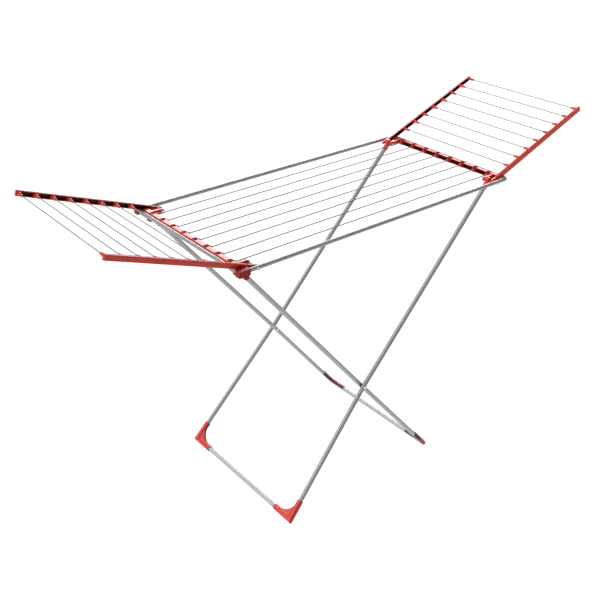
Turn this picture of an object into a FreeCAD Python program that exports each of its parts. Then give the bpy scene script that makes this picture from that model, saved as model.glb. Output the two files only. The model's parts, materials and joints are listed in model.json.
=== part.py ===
import FreeCAD, Part
import os
import re
import Sketcher

# Clothes drying rack with two raised wings and crossed legs, in millimetres.
# +X runs along the long wires towards the right wing, +Y from the front to the back, +Z up.
# The origin is on the floor, under the middle of the rack. The rack stands open for use.

doc = FreeCAD.newDocument("drying_rack")

# ---------------------------------------------------------------- driving dimensions
SIZES = {
    # central frame
    "long_wire_span": 1000,     # clear run of a long wire between its two sockets
    "frame_height": 949,        # centre line of the frame tubes above the floor
    "side_spacing": 530,        # between the centre lines of the side tubes
    "end_overhang": 32,         # end tube centre line beyond the socket tips
    "frame_tube": 12,
    "frame_wall": 1,
    "corner_radius": 16,
    "end_leg": 60,              # straight leg of an end tube past its bend
    "spigot_length": 18,
    "spigot_slack": 0.05,
    # wires
    "wire": 3,
    "wire_pitch": 57.2,
    "wing_pitch": 50.3,
    "socket_grip": 14,          # how deep a wire sits in its socket
    # cross bars
    "bar_height": 17,
    "bar_depth": 16,
    "bar_wall": 2.5,
    "rib_width": 15,
    "nose_length": 11,
    "nose": 10,
    "ear_radius": 8,
    "ear_width": 12,
    # pivot bolts
    "pivot_inset": 22,          # bolt centre inboard of the socket tips
    "pivot_drop": 2,            # bolt centre below the frame centre line
    "bolt": 5,
    "bolt_head": 10,
    "bolt_head_height": 2.6,
    "bush": 10,
    # wings
    "wing_angle": 21,
    "arm_width": 9,
    "arm_height": 16,
    "arm_wall": 2.2,
    "arm_clearance": 6.5,       # between an arm and the side tube
    "arm_end_margin": 7,
    "arm_rest_gap": 0.5,        # over the straight of the end tube; it is less over the bend
    "last_wire_reach": 93,      # innermost wing wire from the pivot, along the arm
    "tail_length": 18,
    "tail_tip": 4.6,
    "taper_start": 28,
    "wing_rib_width": 12,
    "wing_nose_length": 24,
    "wing_nose": 9,
    # legs
    "leg_tube": 15,
    "leg_wall": 1.2,
    "cross_x": -50,
    "cross_height": 370,
    "foot_a_x": -376,
    "foot_b_x": 240,
    "sleeve_clearance": 1,      # between the sleeve of a leg's cap and the wing arm beside it
    "cross_splay": 8,           # how far the outer legs lean out from eye to crossing
    "foot_splay": 36,           # and from eye to floor
    "leg_gap": 3,               # between the tubes of the two leg frames at the crossing
    "foot_b_inset": 17,
    "eye_radius": 11,
    "eye_width": 12,
    "cap_wall": 1.5,
    "cap_start": 12,
    "cap_end": 30,
    "tube_start": 16,
    "head_radius": 10,
    "head_width": 16,
    "head_inset": 31,           # inner leg heads inboard of the end tube
    # floor elbows
    "foot_wall": 2.5,
    "foot_leg_sleeve": 68,
    "foot_bar_sleeve": 80,
    "foot_web": 9,
    "foot_curve": 50,
    "foot_gap": 0.5,            # between the ends of the two tubes in an elbow
    # scissor rivets
    "rivet": 6,
    "rivet_head": 12,
    "rivet_head_height": 2.5,
    "washer": 14,
    # seat brackets
    "seat_wall": 2.6,
    "seat_reach": 28,
    "seat_depth": 15,
    # clearances
    "gap": 0.3,                 # between faces of pieces that move past each other
    "running_fit": 0.05,        # radial, between a pin and its bore
}

# ---------------------------------------------------------------- places worked out from them
PLACES = {
    "tip_x": "long_wire_span / 2",
    "end_x": "tip_x + end_overhang",
    "side_y": "side_spacing / 2",
    "side_face_y": "side_y + frame_tube / 2",
    "leg_end_x": "end_x - corner_radius - end_leg",
    "pivot_x": "tip_x - pivot_inset",
    "pivot_z": "frame_height - pivot_drop",
    "mouth_x": "tip_x + nose_length",
    "bar_back_x": "mouth_x + bar_depth",
    "bar_bottom_z": "frame_height - bar_height / 2",
    "bar_top_z": "frame_height + bar_height / 2",
    "cap": "leg_tube + 2 * cap_wall",
    "foot_radius": "leg_tube / 2 + foot_wall",
    "foot_stop": "leg_tube / 2 + foot_gap",
    "leg_spacing": "leg_tube + leg_gap",
    "eye_clearance": "(cap - eye_width) / 2 + sleeve_clearance",
    "arm_in_y": "side_y - frame_tube / 2 - arm_clearance - arm_width",
    "bar_end_y": "arm_in_y - eye_clearance / 2",
    # A raised wing lies on the end tube, which sets how far its arms hang below their pivots.
    "arm_rise": "(end_x - pivot_x) * sin(wing_angle * 1deg) - pivot_drop * cos(wing_angle * 1deg)",
    "arm_drop": "arm_rise - frame_tube / 2 - arm_rest_gap - arm_height / 2",
    "leg_a_top_y": "arm_in_y - eye_clearance - eye_width / 2",
    "leg_a_cross_y": "leg_a_top_y + cross_splay",
    "leg_a_foot_y": "leg_a_top_y + foot_splay",
    "leg_b_cross_y": "leg_a_cross_y - leg_spacing",
    "leg_b_foot_y": "leg_a_foot_y - foot_b_inset",
    "ear_out_y": "leg_a_top_y - eye_width / 2 - gap",
    "ear_in_y": "ear_out_y - ear_width",
    "seat_ceiling_z": "bar_bottom_z - seat_wall",
    "head_x": "end_x - head_inset",
    "head_z": "seat_ceiling_z - seat_wall / 2 - gap - head_radius",
}

sheet = doc.addObject("Spreadsheet::Sheet", "Sizes")
for row, (alias, value) in enumerate((SIZES | PLACES).items(), start=1):
    sheet.set(f"A{row}", f"={value}" if alias in PLACES else str(value))
    sheet.setAlias(f"A{row}", alias)
doc.recompute()

ALIAS = re.compile(r"\b(" + "|".join(SIZES | PLACES) + r")\b")


def cells(expression):
    """Turn alias words into references to the sheet."""
    return ALIAS.sub(r"Sizes.\1", expression)


def bind(thing, target, expression):
    thing.setExpression(target, cells(expression))


SIDES = (("front", -1), ("back", 1))
ENDS = (("left", -1), ("right", 1))
WIRE_COUNT = 8
NODES = []


def place(x, y, z):
    return (f"({x})", f"({y})", f"({z})")


def distance(start, stop):
    return "sqrt(" + " + ".join(f"pow({b} - {a}; 2)" for a, b in zip(start, stop)) + ")"


def towards(start, stop, run):
    """The place that is run away from start on the way to stop."""
    share = f"({run}) / {distance(start, stop)}"
    return tuple(f"({a} + ({b} - {a}) * {share})" for a, b in zip(start, stop))


def number(expression):
    return float(sheet.evalExpression(cells(f"({expression}) * 1.0")))


# ---------------------------------------------------------------- solids
def rod(start, stop, diameter):
    """A round bar from start to stop."""
    bar = doc.addObject("Part::Cylinder", "rod")
    way = "; ".join(f"{b} - {a}" for a, b in zip(start, stop))
    bind(bar, "Radius", f"({diameter}) / 2")
    bind(bar, "Height", distance(start, stop))
    bind(bar, "Placement",
         f"placement(vector({'; '.join(start)}); rotation(vector(0; 0; 1); vector({way})))")
    return bar


def box(x, y, z, end=1, side=1):
    """A box between pairs of limits, given for the right back quarter and mirrored by end and side."""
    solid = doc.addObject("Part::Box", "box")
    for prop, axis, limits, sign in zip(("Length", "Width", "Height"), "xyz", (x, y, z), (end, side, 1)):
        low, high = limits
        bind(solid, prop, f"({high}) - ({low})")
        start = low if sign == 1 else f"-({high})"
        bind(solid, f"Placement.Base.{axis}", start)
    return solid


def joined(pieces):
    fusion = doc.addObject("Part::MultiFuse", "joined")
    fusion.Shapes = pieces
    fusion.Refine = True
    return fusion


def cut(base, tools):
    """Take the tools away one after another."""
    for tool in tools:
        piece = doc.addObject("Part::Cut", "cut")
        piece.Base = base
        piece.Tool = tool
        base = piece
    return base


def shared(pieces):
    overlap = doc.addObject("Part::MultiCommon", "shared")
    overlap.Shapes = pieces
    return overlap


def node(label, thing):
    """Register a finished piece under the name of its file."""
    thing.Label = label
    NODES.append(thing)


def node_group(label, pieces):
    """Register identical fasteners as separate solids of one node."""
    group = doc.addObject("Part::Compound", "group")
    group.Links = pieces
    node(label, group)


# ---------------------------------------------------------------- central frame tubes
def side_tubes():
    """Straight side tubes, open at both ends for the spigots of the end tubes."""
    for name, side in SIDES:
        left = place("-leg_end_x", f"{side} * side_y", "frame_height")
        right = place("leg_end_x", f"{side} * side_y", "frame_height")
        bore = rod(left, right, "frame_tube - 2 * frame_wall")
        node(f"frame_side_{name}", cut(rod(left, right, "frame_tube"), [bore]))


def corner_runs(end, side, diameter, leg_stop):
    """Half of a cross run, a quarter bend, and a leg along the side that stops at leg_stop."""
    bend_x = "(end_x - corner_radius)"
    bend_y = "(side_y - corner_radius)"
    first_ray = {(1, 1): 0, (-1, 1): 90, (-1, -1): 180, (1, -1): 270}[(end, side)]
    bend = doc.addObject("Part::Torus", "bend")
    bind(bend, "Radius1", "corner_radius")
    bind(bend, "Radius2", f"({diameter}) / 2")
    bend.Angle3 = 90
    bind(bend, "Placement",
         f"placement(vector({end} * {bend_x}; {side} * {bend_y}; frame_height);"
         f" rotation(vector(0; 0; 1); {first_ray}))")
    run = rod(place(f"{end} * end_x", "0", "frame_height"),
              place(f"{end} * end_x", f"{side} * {bend_y}", "frame_height"), diameter)
    leg = rod(place(f"{end} * {bend_x}", f"{side} * side_y", "frame_height"),
              place(f"{end} * ({leg_stop})", f"{side} * side_y", "frame_height"), diameter)
    return [run, bend, leg]


def end_tubes():
    """End tubes bent back along the sides, with a spigot on each leg that plugs into a side tube."""
    bore_size = "(frame_tube - 2 * frame_wall)"
    for name, end in ENDS:
        solids = []
        bores = []
        holes = []
        for _, side in SIDES:
            y = f"{side} * side_y"
            tip = place(f"{end} * (leg_end_x - spigot_length)", y, "frame_height")
            root = place(f"{end} * (leg_end_x + spigot_length)", y, "frame_height")
            solids += corner_runs(end, side, "frame_tube", "leg_end_x")
            solids.append(rod(tip, root, f"{bore_size} - 2 * spigot_slack"))
            bores += corner_runs(end, side, bore_size, "leg_end_x + spigot_length / 2")
            bores.append(rod(tip, root, f"{bore_size} - 2 * frame_wall"))
            holes.append(rod(place(f"{end} * pivot_x", f"{side} * (side_y - frame_tube)", "pivot_z"),
                             place(f"{end} * pivot_x", f"{side} * (side_y + frame_tube)", "pivot_z"),
                             "bolt"))
        node(f"frame_end_{name}", cut(joined(solids), [joined(bores)] + holes))


# ---------------------------------------------------------------- cross bars and long wires
def long_wire_y(index):
    return f"(({index} - {(WIRE_COUNT - 1) / 2}) * wire_pitch)"


def cross_bar(name, end):
    """A channel open towards the middle, saddled on the end tube.

    Each long wire has a rib across the channel and a nose in front of it. An ear at each end of
    the bar carries the inner end of a pivot bolt.
    """
    low = "bar_bottom_z"
    high = "bar_top_z"
    across = ("-bar_end_y", "bar_end_y")
    channel = box(("mouth_x", "bar_back_x"), across, (low, high), end)
    hollow = box(("mouth_x - 1", "bar_back_x - 2 * bar_wall"),
                 ("-bar_end_y + bar_wall", "bar_end_y - bar_wall"),
                 (f"{low} + bar_wall", f"{high} - bar_wall"), end)
    solids = [cut(channel, [hollow])]
    bores = []
    for index in range(WIRE_COUNT):
        y = long_wire_y(index)
        tip = place(f"{end} * tip_x", y, "frame_height")
        solids.append(box(("mouth_x", "bar_back_x - bar_wall"),
                          (f"{y} - rib_width / 2", f"{y} + rib_width / 2"),
                          (f"{low} + bar_wall / 2", f"{high} - bar_wall / 2"), end))
        solids.append(rod(tip, place(f"{end} * (mouth_x + bar_wall)", y, "frame_height"), "nose"))
        bores.append(rod(tip, place(f"{end} * (tip_x + socket_grip)", y, "frame_height"), "wire"))
    for _, side in SIDES:
        ear_y = ("ear_in_y", "ear_out_y")
        inner = place(f"{end} * pivot_x", f"{side} * ear_in_y", "pivot_z")
        outer = place(f"{end} * pivot_x", f"{side} * ear_out_y", "pivot_z")
        solids.append(rod(inner, outer, "2 * ear_radius"))
        solids.append(box(("pivot_x", "bar_back_x - bar_wall"), ear_y,
                          (f"{low} + bar_wall / 2", "pivot_z + ear_radius - bar_wall / 2"), end, side))
        bores.append(rod(inner, outer, "bolt"))
    saddle = rod(place(f"{end} * end_x", "-side_y", "frame_height"),
                 place(f"{end} * end_x", "side_y", "frame_height"), "frame_tube")
    node(f"cross_bar_{name}", cut(joined(solids), bores + [saddle]))


def long_wires():
    reach = "(tip_x + socket_grip)"
    for index in range(WIRE_COUNT):
        y = long_wire_y(index)
        wire = rod(place(f"-{reach}", y, "frame_height"), place(reach, y, "frame_height"), "wire")
        node(f"long_wire_{index + 1}", wire)


# ---------------------------------------------------------------- pivot bolts
def bolt_place(end, side, y):
    return place(f"{end} * pivot_x", f"{side} * ({y})", "pivot_z")


def pivot_bolts():
    """Each bolt runs from an ear through a leg eye or a bush, a wing arm and the frame tube."""
    inner = "(ear_in_y - bolt_head_height)"
    for name, end in ENDS:
        bolts = []
        for _, side in SIDES:
            shank = rod(bolt_place(end, side, inner), bolt_place(end, side, f"side_face_y + 1"), "bolt")
            nut = rod(bolt_place(end, side, inner), bolt_place(end, side, "ear_in_y"), "bolt_head - 1")
            disc = rod(bolt_place(end, side, f"side_face_y - frame_wall"),
                       bolt_place(end, side, f"side_face_y + bolt_head_height"), "bolt_head")
            saddle = rod(place(f"{end} * (pivot_x - bolt_head)", f"{side} * side_y", "frame_height"),
                         place(f"{end} * (pivot_x + bolt_head)", f"{side} * side_y", "frame_height"),
                         "frame_tube")
            bolts.append(joined([shank, nut, cut(disc, [saddle])]))
        node_group(f"pivot_bolts_{name}", bolts)


def pivot_bushes():
    """On the left no leg eye fills the bolt between its ear and the wing arm, so a bush does."""
    bushes = []
    for _, side in SIDES:
        inner = bolt_place(-1, side, "ear_out_y")
        outer = bolt_place(-1, side, "arm_in_y - gap")
        bushes.append(cut(rod(inner, outer, "bush"), [rod(inner, outer, "bolt")]))
    node_group("pivot_bushes", bushes)


# ---------------------------------------------------------------- wings
def side_sketch(body, name):
    """A sketch in the body's XZ plane."""
    sketch = body.newObject("Sketcher::SketchObject", name)
    plane = next(f for f in body.Origin.OriginFeatures if f.Role == "XZ_Plane")
    sketch.AttachmentSupport = [(plane, "")]
    sketch.MapMode = "FlatFace"
    return sketch


def pin(sketch, edge, vertex, x, y):
    """Hold a vertex of a sketch at a place worked out from the sheet."""
    for kind, expression in (("DistanceX", x), ("DistanceY", y)):
        rule = Sketcher.Constraint(kind, -1, 1, edge, vertex, number(expression))
        bind(sketch, f"Constraints[{sketch.addConstraint(rule)}]", expression)


def outline(body, name, corners):
    """A closed straight-sided outline."""
    sketch = side_sketch(body, name)
    spots = [FreeCAD.Vector(number(x), number(y), 0) for x, y in corners]
    for spot, following in zip(spots, spots[1:] + spots[:1]):
        sketch.addGeometry(Part.LineSegment(spot, following))
    for index in range(len(corners)):
        sketch.addConstraint(Sketcher.Constraint("Coincident", index, 2, (index + 1) % len(corners), 1))
    for index, (x, y) in enumerate(corners):
        pin(sketch, index, 1, x, y)
    return sketch


def circle(body, name, x, y, diameter):
    sketch = side_sketch(body, name)
    centre = FreeCAD.Vector(number(x), number(y), 0)
    sketch.addGeometry(Part.Circle(centre, FreeCAD.Vector(0, 0, 1), number(f"({diameter}) / 2")))
    pin(sketch, 0, 3, x, y)
    rule = Sketcher.Constraint("Radius", 0, number(f"({diameter}) / 2"))
    bind(sketch, f"Constraints[{sketch.addConstraint(rule)}]", f"({diameter}) / 2")
    return sketch


def feature(body, kind, name, sketch, depth, reverse):
    made = body.newObject(f"PartDesign::{kind}", name)
    made.Profile = sketch
    bind(made, "Length", depth)
    made.Reversed = reverse
    return made


def wing_arm(label, end, side):
    """A channel open towards the other arm of its wing, with a rib and a nose for each wire.

    The body's own X runs out along the arm from the pivot. Its XZ plane is the arm's inner face.
    The arm tapers past the pivot into a short tail.
    """
    body = doc.addObject("PartDesign::Body", label)
    reach = f"(last_wire_reach + {WIRE_COUNT - 1} * wing_pitch + arm_end_margin)"
    middle = "(-arm_drop)"
    top = f"({middle} + arm_height / 2)"
    bottom = f"({middle} - arm_height / 2)"
    # A pad runs to the body's -Y unless it is reversed, and a pocket to +Y.
    web_back = side * end == 1

    bar_view = outline(body, "bar_view", [
        ("-tail_length", f"{top} - tail_tip"),
        ("taper_start", bottom),
        (reach, bottom),
        (reach, top),
        ("-tail_length", top),
    ])
    feature(body, "Pad", "bar", bar_view, "arm_width", web_back)

    mouth_view = outline(body, "mouth_view", [
        ("taper_start / 2", f"{middle} - arm_wall"),
        ("taper_start", f"{bottom} + arm_wall"),
        (f"{reach} - arm_wall", f"{bottom} + arm_wall"),
        (f"{reach} - arm_wall", f"{top} - arm_wall"),
        ("taper_start / 2", f"{top} - arm_wall"),
    ])
    feature(body, "Pocket", "mouth", mouth_view, "arm_width - arm_wall", not web_back)

    near = "(last_wire_reach - wing_rib_width / 2)"
    far = "(last_wire_reach + wing_rib_width / 2)"
    rib_view = outline(body, "rib_view", [
        (near, f"{bottom} + arm_wall / 2"),
        (far, f"{bottom} + arm_wall / 2"),
        (far, f"{top} - arm_wall / 2"),
        (near, f"{top} - arm_wall / 2"),
    ])
    nose_view = circle(body, "nose_view", "last_wire_reach", middle, "wing_nose")
    bore_view = circle(body, "bore_view", "last_wire_reach", middle, "wire")
    row_features = [
        feature(body, "Pad", "rib", rib_view, "arm_width - arm_wall / 2", web_back),
        feature(body, "Pad", "nose", nose_view, "wing_nose_length", not web_back),
        feature(body, "Pocket", "nose_bore", bore_view, "wing_nose_length", web_back),
        feature(body, "Pocket", "rib_bore", bore_view, "socket_grip / 2", not web_back),
    ]
    row = body.newObject("PartDesign::LinearPattern", "wire_row")
    row.Originals = row_features
    row.Direction = (rib_view, ["H_Axis"])
    bind(row, "Length", f"{WIRE_COUNT - 1} * wing_pitch")
    row.Occurrences = WIRE_COUNT
    body.Tip = row

    hole_view = circle(body, "hole_view", "0", "0", "bolt + 2 * running_fit")
    feature(body, "Pocket", "pivot_hole", hole_view, "arm_width", not web_back)

    turn = 0 if end == 1 else 180
    bind(body, "Placement",
         f"placement(vector({end} * pivot_x; {side} * arm_in_y; pivot_z);"
         f" rotation({turn}; -wing_angle; 0))")
    node(label, body)


def wing_wires(name, end):
    reach = f"(arm_in_y + socket_grip / 2)"
    for index in range(WIRE_COUNT):
        run = f"(last_wire_reach + {index} * wing_pitch)"
        x = f"(pivot_x + {run} * cos(wing_angle * 1deg) + arm_drop * sin(wing_angle * 1deg))"
        z = f"(pivot_z + {run} * sin(wing_angle * 1deg) - arm_drop * cos(wing_angle * 1deg))"
        wire = rod(place(f"{end} * {x}", f"-{reach}", z), place(f"{end} * {x}", reach, z), "wire")
        node(f"wing_{name}_wire_{index + 1}", wire)


# ---------------------------------------------------------------- leg frames
def leg_tube(top, crossing, foot, pin_hole):
    """A tube with a slight crank at the crossing, where its two runs meet in a mitre."""
    share = [f"({m} - {t}) / {distance(top, crossing)} + ({f} - {m}) / {distance(crossing, foot)}"
             for t, m, f in zip(top, crossing, foot)]
    ahead = tuple(f"({m} + {part})" for m, part in zip(crossing, share))
    runs = []
    for end, stop, way in ((top, "tube_start", 1), (foot, "foot_stop", -1)):
        start = towards(end, crossing, stop)
        past = towards(crossing, end, "-leg_tube")
        run = cut(rod(start, past, "leg_tube"), [rod(start, past, "leg_tube - 2 * leg_wall")])
        beyond = rod(crossing, towards(crossing, ahead, f"{2 * way} * leg_tube"), "4 * leg_tube")
        runs.append(cut(run, [beyond]))
    return cut(joined(runs), [pin_hole])


def elbow(label, corner, up, side):
    """A mitred floor elbow: two round sleeves and a curved web between them.

    Where the two sleeves' outlines cross, they share a corner that thins to a point.
    """
    inward = place(corner[0], "0", corner[2])
    leg_end = towards(corner, up, "foot_leg_sleeve")
    bar_end = towards(corner, inward, "foot_bar_sleeve")
    width = "2 * foot_radius"
    point = shared([rod(towards(corner, up, "-2 * foot_radius"), leg_end, width),
                    rod(towards(corner, inward, "-2 * foot_radius"), bar_end, width)])
    web_size = "(foot_radius + foot_curve)"
    y_start = "0" if side == -1 else f"-{web_size}"
    plate = doc.addObject("Part::Box", "web_plate")
    bind(plate, "Length", web_size)
    bind(plate, "Width", web_size)
    bind(plate, "Height", "foot_web")
    bind(plate, "Placement", f"placement(vector(0; {y_start}; -foot_web / 2); rotation(0; 0; 0))")
    curve = doc.addObject("Part::Cylinder", "web_curve")
    bind(curve, "Radius", "foot_curve")
    bind(curve, "Height", "2 * foot_web")
    bind(curve, "Placement",
         f"placement(vector({web_size}; {-side} * {web_size}; -foot_web); rotation(0; 0; 0))")
    web = cut(plate, [curve])
    slope = f"atan2({up[2]} - {corner[2]}; {up[0]} - {corner[0]})"
    bind(web, "Placement",
         f"placement(vector({'; '.join(corner)}); rotation(vector(0; 1; 0); -({slope})))")
    whole = joined([rod(corner, leg_end, width), rod(corner, bar_end, width), point, web])
    bores = [rod(towards(corner, aim, "foot_stop"), towards(corner, aim, f"{sleeve} + 1"), "leg_tube")
             for aim, sleeve in ((up, "foot_leg_sleeve"), (inward, "foot_bar_sleeve"))]
    node(label, cut(whole, bores))


def leg_cap(label, top, below, side, radius, width, hole):
    """The plastic top of a leg: a round head across the leg and a sleeve down its tube."""
    def beside(offset):
        return place(top[0], f"{top[1]} + {side} * ({offset})", top[2])
    head = rod(beside(f"-({width}) / 2"), beside(f"({width}) / 2"), f"2 * {radius}")
    sleeve = rod(towards(top, below, "cap_start"), towards(top, below, "cap_end"), "cap")
    neck = rod(top, towards(top, below, "(cap_start + tube_start) / 2"), f"{width} - 1")
    socket = rod(towards(top, below, "tube_start"), towards(top, below, "cap_end + 1"), "leg_tube")
    tools = [socket]
    if hole:
        tools.append(rod(beside(f"-{width}"), beside(width), hole))
    node(label, cut(joined([head, sleeve, neck]), tools))


def floor_bar(label, corner_x, corner_y):
    reach = f"({corner_y} - foot_stop)"
    start = place(corner_x, f"-{reach}", "foot_radius")
    stop = place(corner_x, reach, "foot_radius")
    node(label, cut(rod(start, stop, "leg_tube"), [rod(start, stop, "leg_tube - 2 * leg_wall")]))


def crossing_rod(side, low, high, diameter):
    return rod(place("cross_x", f"{side} * ({low})", "cross_height"),
               place("cross_x", f"{side} * ({high})", "cross_height"), diameter)


def outer_legs():
    """Leg frame A hangs on the right pivot bolts and stands on the left."""
    for name, side in SIDES:
        top = place("pivot_x", f"{side} * leg_a_top_y", "pivot_z")
        crossing = place("cross_x", f"{side} * leg_a_cross_y", "cross_height")
        foot = place("foot_a_x", f"{side} * leg_a_foot_y", "foot_radius")
        hole = crossing_rod(side, "leg_a_cross_y - leg_tube", "leg_a_cross_y + leg_tube", "rivet")
        node(f"leg_a_tube_{name}", leg_tube(top, crossing, foot, hole))
        leg_cap(f"leg_a_eye_{name}", top, crossing, side, "eye_radius", "eye_width",
                "bolt + 2 * running_fit")
        elbow(f"leg_a_foot_{name}", foot, crossing, side)
    floor_bar("leg_a_floor_bar", "foot_a_x", "leg_a_foot_y")


def inner_legs():
    """Leg frame B carries the left end on two round heads and stands on the right."""
    for name, side in SIDES:
        top = place("-head_x", f"{side} * leg_b_cross_y", "head_z")
        crossing = place("cross_x", f"{side} * leg_b_cross_y", "cross_height")
        foot = place("foot_b_x", f"{side} * leg_b_foot_y", "foot_radius")
        hole = crossing_rod(side, "leg_b_cross_y - leg_tube", "leg_b_cross_y + leg_tube",
                            "rivet + 2 * running_fit")
        node(f"leg_b_tube_{name}", leg_tube(top, crossing, foot, hole))
        leg_cap(f"leg_b_head_{name}", top, crossing, side, "head_radius", "head_width", None)
        elbow(f"leg_b_foot_{name}", foot, crossing, side)
    floor_bar("leg_b_floor_bar", "foot_b_x", "leg_b_foot_y")


def scissor_rivets():
    """Rivets fixed in the outer legs, on which the inner legs turn, each with a spacer washer."""
    outer_seat = "(leg_a_cross_y + leg_tube / 2 + 2 * gap)"
    inner_seat = "(leg_b_cross_y - leg_tube / 2 - gap)"
    washer_in = "leg_b_cross_y + leg_tube / 2 + 3 * gap"
    washer_out = "leg_a_cross_y - leg_tube / 2 - gap"
    rivets = []
    washers = []
    for _, side in SIDES:
        shank = crossing_rod(side, inner_seat, outer_seat, "rivet")
        outer_head = crossing_rod(side, outer_seat, f"{outer_seat} + rivet_head_height", "rivet_head")
        inner_head = crossing_rod(side, f"{inner_seat} - rivet_head_height", inner_seat, "rivet_head")
        rivets.append(joined([shank, outer_head, inner_head]))
        washers.append(cut(crossing_rod(side, washer_in, washer_out, "washer"),
                           [crossing_rod(side, washer_in, washer_out, "rivet")]))
    node_group("scissor_rivets", rivets)
    node_group("scissor_washers", washers)


# ---------------------------------------------------------------- seats for the inner legs
def seat_brackets():
    """Brackets on the left corners. Each caps its corner and has a pocket for a round leg head.

    The cap hides the bend of the tube. The pocket is closed above and on the outboard side,
    where the legs push, and open inboard.
    """
    outside_x = "(end_x + frame_tube / 2 + seat_wall)"
    outside_y = "(side_face_y + seat_wall)"
    inside_x = "(end_x - seat_reach)"
    inside_y = "(leg_b_cross_y - head_width / 2 - seat_wall / 2)"
    pocket_y = "(leg_b_cross_y + head_width / 2 + seat_wall / 2)"
    cap_y = "(arm_in_y + arm_width + arm_clearance / 4)"
    roof_z = "(frame_height + frame_tube / 2 + seat_wall)"
    for name, side in SIDES:
        plate = box((inside_x, "end_x"), (inside_y, outside_y), ("seat_ceiling_z", "bar_bottom_z"), -1, side)
        corner = box((inside_x, outside_x), (cap_y, outside_y), ("seat_ceiling_z", roof_z), -1, side)
        pocket = box(("head_x", "head_x + head_radius + gap + 4 * seat_wall"), (inside_y, pocket_y),
                     ("seat_ceiling_z - seat_depth", "seat_ceiling_z"), -1, side)
        head_room = rod(place("-head_x", f"{side} * ({inside_y} - 1)", "head_z"),
                        place("-head_x", f"{side} * ({pocket_y} + 1)", "head_z"),
                        "2 * (head_radius + gap)")
        whole = joined([plate, corner, pocket])
        node(f"seat_bracket_{name}", cut(whole, [head_room] + corner_runs(-1, side, "frame_tube", inside_x)))


side_tubes()
end_tubes()
for end_name, end_sign in ENDS:
    cross_bar(end_name, end_sign)
long_wires()
pivot_bolts()
pivot_bushes()
seat_brackets()
for end_name, end_sign in ENDS:
    for side_name, side_sign in SIDES:
        wing_arm(f"wing_{end_name}_arm_{side_name}", end_sign, side_sign)
    wing_wires(end_name, end_sign)
outer_legs()
inner_legs()
scissor_rivets()
doc.recompute()

# ---------------------------------------------------------------- checks and export
for thing in doc.Objects:
    if {"Invalid", "Error"} & set(thing.State):
        raise RuntimeError(f"{thing.Label} failed: {thing.State}")
for piece in NODES:
    if piece.Shape.isNull() or not piece.Shape.isValid():
        raise RuntimeError(f"{piece.Label} has no valid shape")

os.makedirs("parts", exist_ok=True)
for piece in NODES:
    piece.Shape.exportStep(f"parts/{piece.Label}.step")
    print(f"{piece.Label:24s} {len(piece.Shape.Solids)} solids {piece.Shape.Volume / 1000:9.2f} cm3")
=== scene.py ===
import json
import math
import bmesh
import bpy
from mathutils import Matrix, Vector


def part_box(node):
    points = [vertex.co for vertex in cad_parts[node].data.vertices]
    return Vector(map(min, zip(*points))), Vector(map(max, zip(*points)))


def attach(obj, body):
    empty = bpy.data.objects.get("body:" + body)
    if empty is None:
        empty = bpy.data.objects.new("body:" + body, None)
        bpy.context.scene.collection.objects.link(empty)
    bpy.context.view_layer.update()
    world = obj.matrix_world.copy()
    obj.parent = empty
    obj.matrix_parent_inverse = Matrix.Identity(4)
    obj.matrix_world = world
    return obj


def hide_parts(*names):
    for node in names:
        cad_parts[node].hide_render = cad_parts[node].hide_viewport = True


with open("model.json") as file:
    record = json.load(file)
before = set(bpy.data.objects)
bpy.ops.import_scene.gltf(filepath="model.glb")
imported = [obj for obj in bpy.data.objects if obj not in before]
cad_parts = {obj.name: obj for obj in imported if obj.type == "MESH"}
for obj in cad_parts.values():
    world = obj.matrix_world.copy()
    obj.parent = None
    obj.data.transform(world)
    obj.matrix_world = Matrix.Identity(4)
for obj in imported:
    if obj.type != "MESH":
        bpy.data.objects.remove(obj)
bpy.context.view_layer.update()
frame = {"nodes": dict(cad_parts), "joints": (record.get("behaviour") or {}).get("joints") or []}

# ---------------------------------------------------------------- camera
# A standing viewer in front of the left end of the rack, looking down along it to the far right corner
# through a lens a little longer than a normal one.
eye = Vector((-1.7194, -1.9909, 2.0413))
gaze = Vector((0.5465, 0.6798, -0.4890))
camera = bpy.data.objects.new("camera", bpy.data.cameras.new("camera"))
camera.data.lens = 54.2
camera.data.sensor_width = 36
camera.location = eye
camera.rotation_euler = gaze.to_track_quat("-Z", "Y").to_euler()
bpy.context.scene.collection.objects.link(camera)
bpy.context.scene.camera = camera

# ---------------------------------------------------------------- frame tubes
# Two straight side tubes of 12 mm steel plug onto bent end tubes. All are powder coated silver-grey,
# a fine orange-peel skin over metal flake, with each joint showing as a narrow dark seam.
MM = 0.001


class Value:
    """A shader socket. Arithmetic on it adds Math nodes to its material."""

    def __init__(self, finish, socket):
        self.finish = finish
        self.socket = socket

    def math(self, operation, first, second):
        return self.finish.node("ShaderNodeMath", {"operation": operation}, {0: first, 1: second})

    def __add__(self, other):
        return self.math("ADD", self, other)

    def __sub__(self, other):
        return self.math("SUBTRACT", self, other)

    def __rsub__(self, other):
        return self.math("SUBTRACT", other, self)

    def __mul__(self, other):
        return self.math("MULTIPLY", self, other)

    def __abs__(self):
        return self.math("ABSOLUTE", self, 0.0)

    __radd__ = __add__
    __rmul__ = __mul__


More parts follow.
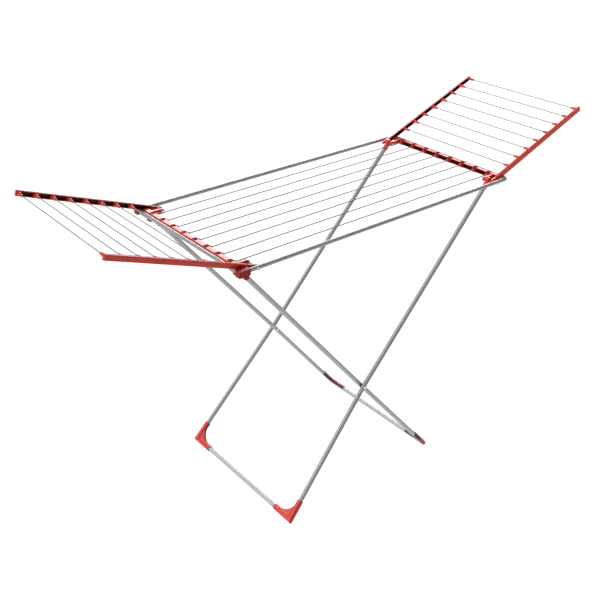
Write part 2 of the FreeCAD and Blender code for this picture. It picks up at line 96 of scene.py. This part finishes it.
class Finish:
    """One material and the nodes it is made of. Its patterns lie on Object coordinates."""

    def __init__(self, name):
        self.material = bpy.data.materials.new(name)
        self.material.use_nodes = True
        self.tree = self.material.node_tree
        self.tree.nodes.clear()
        self.place = self.node("ShaderNodeTexCoord", {}, {}, "Object")

    def node(self, kind, settings, inputs, output=0):
        made = self.tree.nodes.new(kind)
        for name, value in settings.items():
            setattr(made, name, value)
        for name, value in inputs.items():
            if isinstance(value, Value):
                self.tree.links.new(value.socket, made.inputs[name])
            else:
                made.inputs[name].default_value = value
        return Value(self, made.outputs[output]) if made.outputs else made

    def noise(self, scale, detail=2.0, stretch=(1, 1, 1)):
        """Soft noise of about 0 to 1, in grains per metre, drawn out along an axis whose stretch is small."""
        spread = self.node("ShaderNodeVectorMath", {"operation": "MULTIPLY"}, {0: self.place, 1: stretch})
        return self.node("ShaderNodeTexNoise", {}, {"Vector": spread, "Scale": scale, "Detail": detail})

    def step(self, value, low, high):
        """0 where value is under low, rising softly to 1 where it is over high."""
        return self.node("ShaderNodeMapRange", {"interpolation_type": "SMOOTHSTEP"},
                         {"Value": value, "From Min": low, "From Max": high})

    def blend(self, mask, first, second):
        return self.node("ShaderNodeMix", {"data_type": "RGBA"}, {0: mask, 6: first, 7: second}, 2)

    def axis(self, name):
        return self.node("ShaderNodeSeparateXYZ", {}, {0: self.place}, name)

    def shade(self, colour, roughness, height, depth, fixed):
        """Ends the material. Colour, roughness and bump may vary; the fixed values are the same all over."""
        bump = self.node("ShaderNodeBump", {}, {"Height": height, "Distance": depth}, "Normal")
        inputs = {"Base Color": colour, "Roughness": roughness, "Normal": bump} | fixed
        surface = self.node("ShaderNodeBsdfPrincipled", {}, inputs)
        self.node("ShaderNodeOutputMaterial", {}, {"Surface": surface})
        return self.material


def powder_coat(name, body, flake, seam_x=None):
    """Satin silver-grey powder coat. body and flake are its darker and lighter greys. A dark seam
    rings the tubes at seam_x to either side of the middle, where it is given."""
    coat = Finish(name)
    peel = coat.noise(1400, 1.0)
    cloud = coat.noise(9, 3.0)
    # Painted glints: sparse specks of the coat are lightened towards near white in its colour.
    flake_glint = coat.step(coat.noise(5200, 0.0), 0.58, 0.72)
    scuffs = coat.step(coat.noise(160, 4.0, (0.25, 1, 0.6)), 0.62, 0.74)
    colour = coat.blend(cloud, body, flake)
    colour = coat.blend(flake_glint * 0.12, colour, (0.9, 0.9, 0.92, 1))
    colour = coat.blend(scuffs * 0.06, colour, (0.16, 0.16, 0.17, 1))
    height = peel
    if seam_x:
        seam = 1 - coat.step(abs(abs(coat.axis("X")) - seam_x), 0.4 * MM, 0.7 * MM)
        colour = coat.blend(seam, colour, (0.03, 0.03, 0.03, 1))
        height = peel - seam * 8
    roughness = 0.38 + cloud * 0.06 + scuffs * 0.05
    return coat.shade(colour, roughness, height, 0.003 * MM, {"Metallic": 0.2, "Coat Weight": 0.1})


def dress(nodes, material):
    """Gives CAD nodes a material in their own slots."""
    for name in nodes:
        slots = frame["nodes"][name].data.materials
        slots.clear()
        slots.append(material)


frame_paint = powder_coat("frame_paint", body=(0.26, 0.265, 0.275, 1), flake=(0.34, 0.345, 0.355, 1),
                          seam_x=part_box("frame_side_back")[1].x)
dress(["frame_side_front", "frame_side_back", "frame_end_left", "frame_end_right"], frame_paint)

# ---------------------------------------------------------------- drying wires
# Steel wires of 3 mm in a mid grey plastic coat. They run between moulded sockets and are drawn
# along their length, so the coat has fine lengthwise streaks and a soft gloss.
ENDS = {"left": -1, "right": 1}
WIRES = range(1, 9)


def wire_coat(name, stretch):
    """Mid grey plastic coat with streaks along the axis whose stretch is small."""
    coat = Finish(name)
    streaks = coat.noise(900, 2.0, stretch)
    cloud = coat.noise(14, 2.0)
    colour = coat.blend(cloud, (0.16, 0.162, 0.17, 1), (0.22, 0.222, 0.23, 1))
    colour = coat.blend(coat.step(streaks, 0.5, 0.8) * 0.3, colour, (0.32, 0.32, 0.33, 1))
    return coat.shade(colour, 0.5 + streaks * 0.15, streaks, 0.03 * MM, {"Specular IOR Level": 0.25})


long_coat = wire_coat("long_wire_coat", (0.03, 1, 1))
wing_coat = wire_coat("wing_wire_coat", (1, 0.03, 1))
dress([f"long_wire_{i}" for i in WIRES], long_coat)
dress([f"wing_{end}_wire_{i}" for end in ENDS for i in WIRES], wing_coat)

# ---------------------------------------------------------------- cross bars
# Moulded channels in glossy orange-red plastic, saddled on the end tubes and open to the middle.
# A rib and a tapered nose grip each long wire. The hollow behind the ribs is painted near black as shade.
SIDES = {"front": -1, "back": 1}


def red_plastic(name, lit, deep, gloss, shine):
    """Semi-gloss moulded plastic with faint flow marks, a fine spark-eroded grain and rubbed spots.
    lit and deep are its lighter and darker reds, gloss its least roughness, shine its reflectivity."""
    mould = Finish(name)
    flow = mould.noise(22, 3.0, (1, 1, 2.5))
    speck = mould.noise(2600, 1.0)
    rubbed = mould.step(mould.noise(70, 4.0), 0.6, 0.75)
    colour = mould.blend(flow, deep, lit)
    colour = mould.blend(rubbed * 0.12, colour, (0.70, 0.12, 0.09, 1))
    roughness = gloss + speck * 0.08 + rubbed * 0.12
    return mould.shade(colour, roughness, speck + flow * 0.8, 0.006 * MM,
                       {"IOR": 1.45, "Specular IOR Level": shine})


orange_red = red_plastic("orange_red_plastic", lit=(0.54, 0.036, 0.018, 1), deep=(0.44, 0.019, 0.013, 1),
                         gloss=0.22, shine=0.4)
# A darker copy of the red plastic: painted shade for the seat brackets and the heads on the leg_b tubes.
painted_shade_red = red_plastic("bracket_painted_shade", lit=(0.30, 0.012, 0.014, 1), deep=(0.22, 0.008, 0.011, 1),
                      gloss=0.4, shine=0.15)
# A darker, matt copy of the red plastic: painted shade for the ribs on the cross bars.
rib_shade_red = red_plastic("rib_painted_shade", lit=(0.20, 0.022, 0.018, 1), deep=(0.15, 0.014, 0.013, 1),
                         gloss=0.7, shine=0.05)
# Near-black painted shade for the pocket faces inside the channels, mottled by noise.
channel_shade = Finish("channel_shade")
channel_shade_mottle = channel_shade.noise(120, 3.0)
shade_colour = channel_shade.blend(channel_shade_mottle, (0.010, 0.004, 0.004, 1), (0.030, 0.009, 0.008, 1))
channel_dark = channel_shade.shade(shade_colour, 0.55 + channel_shade_mottle * 0.2, channel_shade_mottle, 0.08 * MM,
                                   {"Specular IOR Level": 0.2})


def soften(bm, edges, width, segments=2):
    """Rounds some edges."""
    bmesh.ops.bevel(bm, geom=edges, offset=width, segments=segments, profile=0.5, affect="EDGES",
                    material=-1, clamp_overlap=True)


def sharp_block(bm, low, high):
    """A box between two corners. Gives its vertices."""
    middle = (Vector(low) + Vector(high)) / 2
    matrix = Matrix.Translation(middle) @ Matrix.Diagonal((*(Vector(high) - Vector(low)), 1))
    return bmesh.ops.create_cube(bm, size=1, matrix=matrix)["verts"]


def block(bm, low, high, width):
    """A box between two corners with its edges rounded."""
    soften(bm, list({e for v in sharp_block(bm, low, high) for e in v.link_edges}), width)


def turned_peg(bm, start, stop, radius, tip_radius, width, steps=24):
    """A round peg from start to stop, tapered, with both rims rounded."""
    way = Vector(stop) - Vector(start)
    matrix = (Matrix.Translation((Vector(start) + Vector(stop)) / 2)
              @ way.to_track_quat("Z", "Y").to_matrix().to_4x4())
    made = bmesh.ops.create_cone(bm, cap_ends=True, segments=steps, radius1=radius, radius2=tip_radius,
                                 depth=way.length, matrix=matrix)
    rims = {e for v in made["verts"] for e in v.link_edges if max(len(f.verts) for f in e.link_faces) > 4}
    soften(bm, list(rims), width)


def wrapped(points, width):
    """A separate block stretched tight around some points, with its sharp edges rounded."""
    bm = bmesh.new()
    for point in points:
        bm.verts.new(point)
    bmesh.ops.convex_hull(bm, input=bm.verts)
    bmesh.ops.delete(bm, geom=[v for v in bm.verts if not v.link_faces], context="VERTS")
    bmesh.ops.dissolve_limit(bm, angle_limit=math.radians(3), verts=bm.verts, edges=bm.edges)
    soften(bm, [e for e in bm.edges if e.calc_face_angle() > 0.8], width)
    return bm


def append(bm, part, slot):
    """Moves a separate part into bm, under one of its material slots."""
    for face in part.faces:
        face.material_index = slot
    carrier = bpy.data.meshes.new("carrier")
    part.to_mesh(carrier)
    part.free()
    bm.from_mesh(carrier)
    bpy.data.meshes.remove(carrier)


def piece(name, bm, materials, matrix, body, nodes, smooth=35):
    """Turns a bmesh into a piece that rides on a body and stands for its CAD nodes."""
    bmesh.ops.transform(bm, matrix=matrix, verts=bm.verts)
    bmesh.ops.recalc_face_normals(bm, faces=bm.faces)
    mesh = bpy.data.meshes.new(name)
    bm.to_mesh(mesh)
    bm.free()
    for material in materials:
        mesh.materials.append(material)
    mesh.shade_smooth()
    mesh.set_sharp_from_angle(angle=math.radians(smooth))
    made = bpy.data.objects.new(name, mesh)
    bpy.context.scene.collection.objects.link(made)
    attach(made, body)
    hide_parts(*nodes)


def channel(bm, low, high, wall, pocket, corner):
    """A bar with a pocket sunk in its -Y face. The pocket's faces take the second material."""
    faces = {f for v in sharp_block(bm, low, high) for f in v.link_faces}
    open_face = next(f for f in faces if f.normal.y < -0.9)
    back_edges = [e for f in faces if f.normal.y > 0.9 for e in f.edges]
    bmesh.ops.inset_region(bm, faces=[open_face], thickness=wall, use_even_offset=True)
    sunk = bmesh.ops.extrude_discrete_faces(bm, faces=[open_face])["faces"]
    bmesh.ops.translate(bm, verts=sunk[0].verts, vec=(0, pocket, 0))
    for face in {f for v in sunk[0].verts for f in v.link_faces}:
        face.material_index = 1
    soften(bm, back_edges, corner, 3)


bar_low, bar_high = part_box("cross_bar_right")
wire_boxes = [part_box(f"long_wire_{i}") for i in WIRES]
wire_y = [(low.y + high.y) / 2 for low, high in wire_boxes]
tube_z = (wire_boxes[0][0].z + wire_boxes[0][1].z) / 2
pivot = next(Vector(joint["pos_m"]) for joint in frame["joints"] if joint["child"] == "wing_right")
wire_grip = 14 * MM
nose_reach = 11 * MM
bar_depth = 16 * MM
bar_half = 8.5 * MM
bar_wall = 2.4 * MM
pocket_depth = 11 * MM
bar_corner = 1.6 * MM
socket_tip = wire_boxes[0][1].x - wire_grip
bar_mouth = socket_tip + nose_reach
bar_back = bar_mouth + bar_depth
bar_bottom = tube_z - bar_half
bar_top = tube_z + bar_half
rib_half = 7 * MM
rib_proud = 1.2 * MM
rib_drop = 0.4 * MM
rib_round = 1.2 * MM
web_half = 1.1 * MM
web_inset = 2.2 * MM
nose_root = bar_mouth + 2 * MM
nose_radius = 5.4 * MM
nose_tip_radius = 4.0 * MM
nose_round = 0.8 * MM
ear_gap = 0.3 * MM
ear_thickness = 12 * MM
ear_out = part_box("leg_a_eye_back")[0].y - ear_gap
ear_in = ear_out - ear_thickness
ear_radius = 8 * MM
ear_root = bar_mouth + 6 * MM
ear_round = 1.2 * MM
ear_facets = 24
for end, way in ENDS.items():
    bm = bmesh.new()
    # The bar is shaped lying along X with its mouth to -Y, then turned to face the middle.
    channel(bm, (bar_low.y, bar_mouth, bar_bottom), (bar_high.y, bar_back, bar_top),
            bar_wall, pocket_depth, bar_corner)
    ribs = bmesh.new()
    pegs = bmesh.new()
    for y in wire_y:
        block(ribs, (y - rib_half, bar_mouth - rib_proud, bar_bottom - rib_drop),
              (y + rib_half, bar_back - 2 * MM, bar_top + rib_proud), rib_round)
        block(pegs, (y - web_half, socket_tip + 3 * MM, bar_bottom + web_inset),
              (y + web_half, nose_root, bar_top - web_inset), 0.5 * MM)
        turned_peg(pegs, (y, nose_root, tube_z), (y, socket_tip, tube_z),
                   nose_radius, nose_tip_radius, nose_round)
    # The ribs take the darker red, painted shade.
    append(bm, ribs, 2)
    append(bm, pegs, 0)
    for side in SIDES.values():
        corners = []
        for across in (side * ear_in, side * ear_out):
            for step in range(ear_facets):
                angle = math.tau * step / ear_facets
                corners.append((across, pivot.x + ear_radius * math.cos(angle),
                                pivot.z + ear_radius * math.sin(angle)))
            corners += [(across, ear_root, bar_bottom + 1.2 * MM), (across, ear_root, bar_top - 2 * MM)]
        append(bm, wrapped(corners, ear_round), 0)
    crosswise = Matrix(((0, way, 0, 0), (1, 0, 0, 0), (0, 0, 1, 0), (0, 0, 0, 1)))
    piece(f"cross_bar_{end}_moulding", bm, [orange_red, channel_dark, rib_shade_red], crosswise, "frame",
          [f"cross_bar_{end}"])

# ---------------------------------------------------------------- wing arms
# Each wing has two moulded arms, channels that face each other. Ribs carry tapered noses that grip
# the wing's wires, and past its pivot bolt an arm runs out in a thin tail.
wing_boxes = [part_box("wing_right_wire_1"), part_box("wing_right_wire_8")]
first_wire, last_wire = [(low + high) / 2 for low, high in wing_boxes]
slope = math.atan2(last_wire.z - first_wire.z, last_wire.x - first_wire.x)
out_way = Vector((math.cos(slope), 0, math.sin(slope)))
up_way = Vector((-math.sin(slope), 0, math.cos(slope)))
first_reach = (first_wire - pivot).dot(out_way)
last_reach = (last_wire - pivot).dot(out_way)
arm_middle = (first_wire - pivot).dot(up_way)
arm_width = 9 * MM
arm_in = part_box("wing_right_arm_back")[1].y - arm_width
arm_half = 8 * MM
arm_wall = 2 * MM
arm_corner = 1.4 * MM
arm_margin = 7 * MM
arm_end = last_reach + arm_margin
tail_x = -18 * MM
tail_height = 4.6 * MM
tail_low = arm_half - tail_height
tail_round = 1.2 * MM
taper_x = 22 * MM
channel_lap = 3 * MM
grip_half = 6 * MM
grip_round = 0.8 * MM
fin_half = 1 * MM
fin_reach = 15 * MM
fin_half_height = 5.6 * MM
arm_nose_root = 2 * MM
arm_nose_reach = 24 * MM
arm_nose_radius = 5.2 * MM
arm_nose_tip_radius = 3.6 * MM
for end, way in ENDS.items():
    for side_name, side in SIDES.items():
        bm = bmesh.new()
        # The arm is shaped along X from its pivot, with its mouth to -Y, as the right back arm stands.
        channel(bm, (taper_x - channel_lap, 0, -arm_half), (arm_end, arm_width, arm_half), arm_wall,
                arm_width - arm_wall, arm_corner)
        outline = ((tail_x, tail_low), (tail_x, arm_half), (taper_x, arm_half), (taper_x, -arm_half))
        tail = wrapped([(x, y, z) for y in (0, arm_width) for x, z in outline], tail_round)
        append(bm, tail, 0)
        sockets = bmesh.new()
        for index in range(len(WIRES)):
            x = first_reach + index * (last_reach - first_reach) / (len(WIRES) - 1)
            block(sockets, (x - grip_half, 0.3 * MM, -arm_half + 1 * MM),
                  (x + grip_half, arm_width - 2 * MM, arm_half - 1 * MM), grip_round)
            block(sockets, (x - fin_half, -fin_reach, -fin_half_height),
                  (x + fin_half, arm_nose_root, fin_half_height), 0.5 * MM)
            turned_peg(sockets, (x, arm_nose_root, 0), (x, -arm_nose_reach, 0),
                       arm_nose_radius, arm_nose_tip_radius, nose_round)
        append(bm, sockets, 0)
        lift = Matrix.Translation((0, 0, arm_middle))
        tilt = Matrix.Rotation(-slope, 4, "Y")
        stand = Matrix.Translation((pivot.x, arm_in, pivot.z))
        mirror = Matrix.Diagonal((way, side, 1, 1))
        # The pocket faces take the near-black painted shade.
        piece(f"wing_{end}_arm_{side_name}_moulding", bm, [orange_red, channel_dark],
              mirror @ stand @ tilt @ lift, f"wing_{end}", [f"wing_{end}_arm_{side_name}"])

# ---------------------------------------------------------------- seat brackets, eyes and heads
# Brackets cap the left corners, and eyes and round heads top the leg tubes. The eyes are the same orange-red
# plastic; the brackets and the heads that sit in them take a darker crimson copy of it that is painted shade,
# all well rounded.


def moulding(node, grain, rounds):
    """The CAD solid of a small moulding with its edges melted to small rounds."""
    bm = bmesh.new()
    bm.from_mesh(frame["nodes"][node].data)
    bmesh.ops.remove_doubles(bm, verts=bm.verts, dist=0.01 * MM)
    rough = bpy.data.meshes.new(f"{node}_rough")
    bm.to_mesh(rough)
    bm.free()
    blank = bpy.data.objects.new(f"{node}_blank", rough)
    bpy.context.scene.collection.objects.link(blank)
    melt = blank.modifiers.new("melt", "REMESH")
    melt.mode = "VOXEL"
    melt.voxel_size = grain
    smooth = blank.modifiers.new("smooth", "SMOOTH")
    smooth.factor = 0.5
    smooth.iterations = rounds
    graph = bpy.context.evaluated_depsgraph_get()
    mesh = bpy.data.meshes.new_from_object(blank.evaluated_get(graph))
    bpy.data.objects.remove(blank)
    bm = bmesh.new()
    bm.from_mesh(mesh)
    bpy.data.meshes.remove(mesh)
    return bm


for side in SIDES:
    for node, body, plastic in ((f"seat_bracket_{side}", "frame", painted_shade_red),
                                (f"leg_a_eye_{side}", "leg_a", orange_red),
                                (f"leg_b_head_{side}", "leg_b", painted_shade_red)):
        piece(f"{node}_moulding", moulding(node, grain=0.6 * MM, rounds=4), [plastic], Matrix(), body,
              [node], smooth=60)

# ---------------------------------------------------------------- floor elbows
# Mitred elbows join each leg to its floor bar. They are open-backed mouldings: on the side towards the middle
# of the rack the sleeves are cut away and the tubes lie bare in them. Faces turned into the hollows or to the
# concave side, and on leg_b the sleeve faces beyond the red tip at the corner, are painted a dark brown as
# shade.
open_depth = 5.5 * MM
red_tip = 34 * MM
# Dark brown painted shade for the elbows' hollows and inner lips, mottled by noise.
hollow = Finish("hollow_painted_shade")
hollow_shade_mottle = hollow.noise(150, 3.0)
hollow_shade_colour = hollow.blend(hollow_shade_mottle, (0.055, 0.030, 0.028, 1), (0.10, 0.060, 0.055, 1))
hollow_shade = hollow.shade(hollow_shade_colour, 0.6 + hollow_shade_mottle * 0.2, hollow_shade_mottle, 0.06 * MM, {"Specular IOR Level": 0.2})
for leg, slant in (("leg_a", 1), ("leg_b", -1)):
    for side, side_sign in SIDES.items():
        node = f"{leg}_foot_{side}"
        tube_low, tube_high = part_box(f"{leg}_tube_{side}")
        rise = Vector((slant * (tube_high.x - tube_low.x), 0, tube_high.z - tube_low.z)).normalized()
        inner = Vector((slant * rise.z, 0, -slant * rise.x))
        floor_bar_low, floor_bar_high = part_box(f"{leg}_floor_bar")
        axis = (floor_bar_low + floor_bar_high) / 2
        bm = moulding(node, grain=0.8 * MM, rounds=5)
        corner = Vector((axis.x, side_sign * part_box(f"{leg}_foot_back")[1].y, axis.z))
        concave = Vector((0, -side_sign, 0))
        cut = bmesh.ops.bisect_plane(bm, geom=bm.verts[:] + bm.edges[:] + bm.faces[:],
                                     plane_co=axis + inner * open_depth, plane_no=inner, clear_outer=True)
        rim = [e for e in cut["geom_cut"] if isinstance(e, bmesh.types.BMEdge)]
        bmesh.ops.triangle_fill(bm, use_beauty=True, use_dissolve=False, edges=rim, normal=inner)
        # Faces turned into the hollow, to the concave side or along the far sleeve take the dark painted
        # shade.
        for face in bm.faces:
            shaded = face.normal.dot(inner) > 0.4
            lip = face.normal.dot(concave) > 0.4 and face.normal.dot(inner) > -0.4
            sleeve = leg == "leg_b" and (face.calc_center_median() - corner).length > red_tip
            if shaded or lip or (sleeve and face.normal.dot(inner) > -0.5):
                face.material_index = 1
        piece(f"{node}_moulding", bm, [orange_red, hollow_shade], Matrix(), leg, [node],
              smooth=60)

# ---------------------------------------------------------------- leg tubes
# Two crossed frames of 15 mm steel tube, each with two cranked sides pushed into the elbows of a floor bar.
# All are powder coated; the outer frame's sides are a darker grey that is painted shade, the inner frame's a
# lighter grey that is painted light, and the floor bars in between.
shaded_leg_paint = powder_coat("leg_paint_dark", body=(0.21, 0.212, 0.22, 1), flake=(0.28, 0.282, 0.29, 1))
lit_leg_paint = powder_coat("leg_paint_light", body=(0.33, 0.335, 0.345, 1), flake=(0.43, 0.435, 0.445, 1))
bar_paint = powder_coat("floor_bar_paint", body=(0.28, 0.282, 0.29, 1), flake=(0.36, 0.362, 0.37, 1))
dress(["leg_a_tube_front", "leg_a_tube_back"], shaded_leg_paint)
dress(["leg_b_tube_front", "leg_b_tube_back"], lit_leg_paint)
dress(["leg_a_floor_bar", "leg_b_floor_bar"], bar_paint)

# ---------------------------------------------------------------- bolts, rivets and spacers
# Bolts with domed heads and hexagon nuts hold the wings to the ears, and the outer legs too on the
# right. Rivets domed at both ends join the legs. All are zinc plated steel, spaced by dark plastic
# bushes and washers.
zinc = Finish("zinc_plate")
swirl = zinc.noise(700, 3.0)
patina = zinc.step(zinc.noise(60, 4.0), 0.5, 0.8)
zinc_colour = zinc.blend(patina * 0.5, (0.62, 0.62, 0.63, 1), (0.40, 0.39, 0.36, 1))
zinc_steel = zinc.shade(zinc_colour, 0.22 + swirl * 0.2 + patina * 0.15, swirl, 0.04 * MM,
                        {"Metallic": 1.0})
spacer = Finish("spacer_plastic")
spacer_grain = spacer.noise(900, 2.0)
spacer_colour = spacer.blend(spacer_grain, (0.020, 0.020, 0.022, 1), (0.045, 0.045, 0.048, 1))
spacer_black = spacer.shade(spacer_colour, 0.45 + spacer_grain * 0.2, spacer_grain, 0.05 * MM,
                            {"IOR": 1.45})
dress(["pivot_bushes", "scissor_washers"], spacer_black)


def turned(bm, profile, place, way):
    """Adds a profile of (radius, distance) pairs, spun about an axis from place along way."""
    part = bmesh.new()
    verts = [part.verts.new((radius, 0, along)) for radius, along in profile]
    edges = [part.edges.new(pair) for pair in zip(verts, verts[1:])]
    bmesh.ops.spin(part, geom=verts + edges, axis=(0, 0, 1), cent=(0, 0, 0), dvec=(0, 0, 0),
                   angle=math.tau, steps=32, use_merge=True, use_duplicate=False)
    bmesh.ops.remove_doubles(part, verts=part.verts, dist=0.001 * MM)
    aim = Matrix.Translation(place) @ Vector(way).to_track_quat("Z", "Y").to_matrix().to_4x4()
    bmesh.ops.transform(part, matrix=aim, verts=part.verts)
    append(bm, part, 0)


def dome(bm, place, way, radius, height, recess):
    """A domed head whose seat is at place, with a round driving recess when recess is not 0."""
    profile = [(0, 0), (radius, 0), (radius, 0.3 * height), (0.93 * radius, 0.6 * height),
               (0.75 * radius, 0.85 * height), (max(recess, 0.4 * radius), height)]
    if recess:
        profile += [(0.85 * recess, 0.45 * height), (0, 0.4 * height)]
    else:
        profile.append((0, 1.04 * height))
    turned(bm, profile, place, way)


bolt_radius = 2.5 * MM
bolt_head_radius = 5 * MM
bolt_head_height = 2.6 * MM
drive_recess = 2 * MM
nut_radius = 4.6 * MM
nut_height = 2.6 * MM
nut_sides = 6
for end, way in ENDS.items():
    head_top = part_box(f"pivot_bolts_{end}")[1].y
    bolts = bmesh.new()
    for side in SIDES.values():
        outward = (0, side, 0)
        head_seat = (way * pivot.x, side * (head_top - bolt_head_height), pivot.z)
        nut_seat = (way * pivot.x, side * ear_in, pivot.z)
        dome(bolts, head_seat, outward, bolt_head_radius, bolt_head_height, drive_recess)
        turned_peg(bolts, nut_seat, head_seat, bolt_radius, bolt_radius, 0.2 * MM)
        turned_peg(bolts, (way * pivot.x, side * (ear_in - nut_height), pivot.z), nut_seat,
                   nut_radius, nut_radius, 0.4 * MM, nut_sides)
    piece(f"pivot_bolts_{end}_turned", bolts, [zinc_steel], Matrix(), "frame", [f"pivot_bolts_{end}"])

rivet_low, rivet_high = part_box("scissor_rivets")
rivet_axis = (rivet_low + rivet_high) / 2
rivet_run = 33.9 * MM
rivet_radius = 3 * MM
rivet_head_radius = 6 * MM
rivet_head_height = 2.5 * MM
rivets = bmesh.new()
for side in SIDES.values():
    outer_seat = (rivet_axis.x, side * (rivet_high.y - rivet_head_height), rivet_axis.z)
    inner_seat = (rivet_axis.x, side * (rivet_high.y - rivet_head_height - rivet_run), rivet_axis.z)
    dome(rivets, outer_seat, (0, side, 0), rivet_head_radius, rivet_head_height, 0)
    dome(rivets, inner_seat, (0, -side, 0), rivet_head_radius, rivet_head_height, 0)
    turned_peg(rivets, inner_seat, outer_seat, rivet_radius, rivet_radius, 0.2 * MM)
piece("scissor_rivets_turned", rivets, [zinc_steel], Matrix(), "leg_a", ["scissor_rivets"])

# ---------------------------------------------------------------- floor and light
# A white light table glows under the rack. A large panel low behind its far right corner shines along
# every upward face, a broad soft sun stands over its left end, and the rest of the room is dim.
floor_bm = bmesh.new()
bmesh.ops.create_grid(floor_bm, x_segments=1, y_segments=1, size=40)
floor_mesh = bpy.data.meshes.new("studio_floor")
floor_bm.to_mesh(floor_mesh)
floor_bm.free()
floor = bpy.data.objects.new("studio_floor", floor_mesh)
bpy.context.scene.collection.objects.link(floor)
pale = Finish("pale_floor")
paper = pale.noise(3, 2.0)
pale_colour = pale.blend(paper, (0.10, 0.10, 0.10, 1), (0.13, 0.13, 0.13, 1))
glow = {"Emission Color": (1, 1, 1, 1), "Emission Strength": 1.0, "Specular IOR Level": 0.0}
floor_mesh.materials.append(pale.shade(pale_colour, 0.9 + paper * 0.05, paper, 0.1 * MM, glow))

world = bpy.data.worlds.new("studio")
world.use_nodes = True
room = world.node_tree.nodes["Background"].inputs
room["Color"].default_value = (1, 1, 1, 1)
room["Strength"].default_value = 0.16
bpy.context.scene.world = world
bpy.context.scene.view_settings.view_transform = "Standard"


def lamp(name, kind, place, energy, settings):
    """A light aimed at the middle of the rack."""
    made = bpy.data.objects.new(name, bpy.data.lights.new(name, kind))
    made.data.energy = energy
    for setting, value in settings.items():
        setattr(made.data, setting, value)
    made.location = place
    made.rotation_euler = (Vector((0, 0, 0.6)) - Vector(place)).to_track_quat("-Z", "Y").to_euler()
    bpy.context.scene.collection.objects.link(made)


lamp("panel", "AREA", (4.4, 5.4, 4.7), 720, {"shape": "RECTANGLE", "size": 6.5, "size_y": 4})
lamp("sky", "SUN", (-3.6, 1.2, 4.0), 3.3, {"angle": math.radians(60)})
